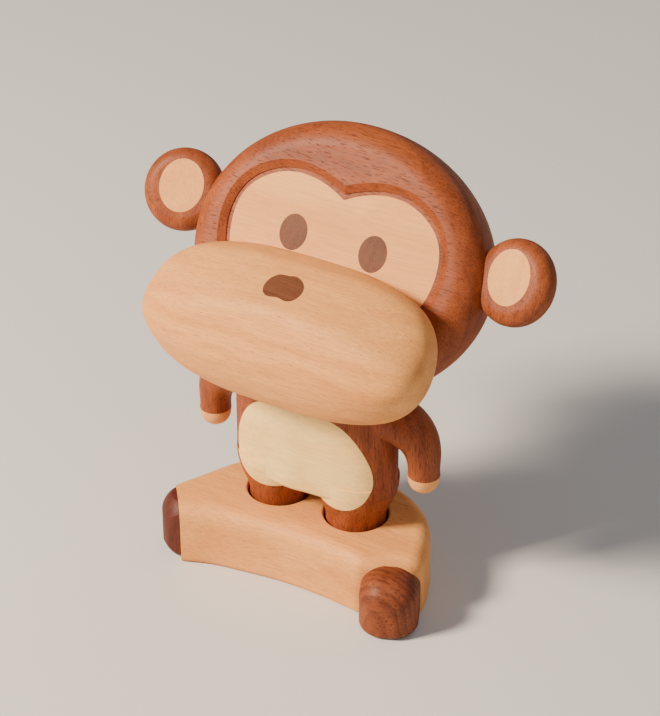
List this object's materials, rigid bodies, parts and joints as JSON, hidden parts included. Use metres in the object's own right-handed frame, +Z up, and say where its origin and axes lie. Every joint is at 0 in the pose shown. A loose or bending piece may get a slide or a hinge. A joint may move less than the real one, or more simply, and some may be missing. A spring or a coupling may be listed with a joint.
{
  "type": "eyeglasses display stand",
  "caption": "Carved wooden monkey standing on a banana base; eyeglasses rest in the groove between its muzzle and face, with the temples over the head.",
  "frame": {"origin": "on the underside of the banana base, midway between the two legs", "axes": "+Z up out of the surface the stand rests on; the figure faces -Y; +X towards the figure's own left ear"},
  "size_m": [0.1564, 0.0906, 0.1551],
  "materials": {
    "dark_wood": "satin",
    "beech": "satin",
    "maple": "satin",
    "pale_maple": "satin",
    "walnut": "satin",
    "tip_wood": "satin",
    "stem_wood": "satin",
    "dowel_wood": "satin"
  },
  "bodies": {
    "base": {"banana_base": "beech", "banana_tip": "tip_wood", "banana_stem": "stem_wood", "tip_dowel": "dowel_wood", "stem_dowel": "dowel_wood"},
    "figure": {"torso": "dark_wood", "belly_inlay": "pale_maple", "neck_dowel": "dowel_wood", "hand_tip_left": "maple", "hand_tip_right": "maple", "hand_pin_left": "dowel_wood", "hand_pin_right": "dowel_wood"},
    "head": {"head_block": "dark_wood", "face_inlay": "maple", "eye_inlay_left": "walnut", "eye_inlay_right": "walnut", "ear_left": "dark_wood", "ear_right": "dark_wood", "ear_inlay_left": "maple", "ear_inlay_right": "maple", "ear_dowel_left": "dowel_wood", "ear_dowel_right": "dowel_wood", "muzzle": "beech", "muzzle_dowel_left": "dowel_wood", "muzzle_dowel_right": "dowel_wood", "nose_inlay": "walnut"}
  },
  "joints": [
    {"name": "figure_lift", "type": "slide", "parent": "base", "child": "figure", "axis": [0, 0, 1], "range_m": [0, 0.03]},
    {"name": "head_turn", "type": "hinge", "parent": "figure", "child": "head", "pos_m": [0, 0, 0.0773], "axis": [0, 0, 1], "continuous": true}
  ]
}
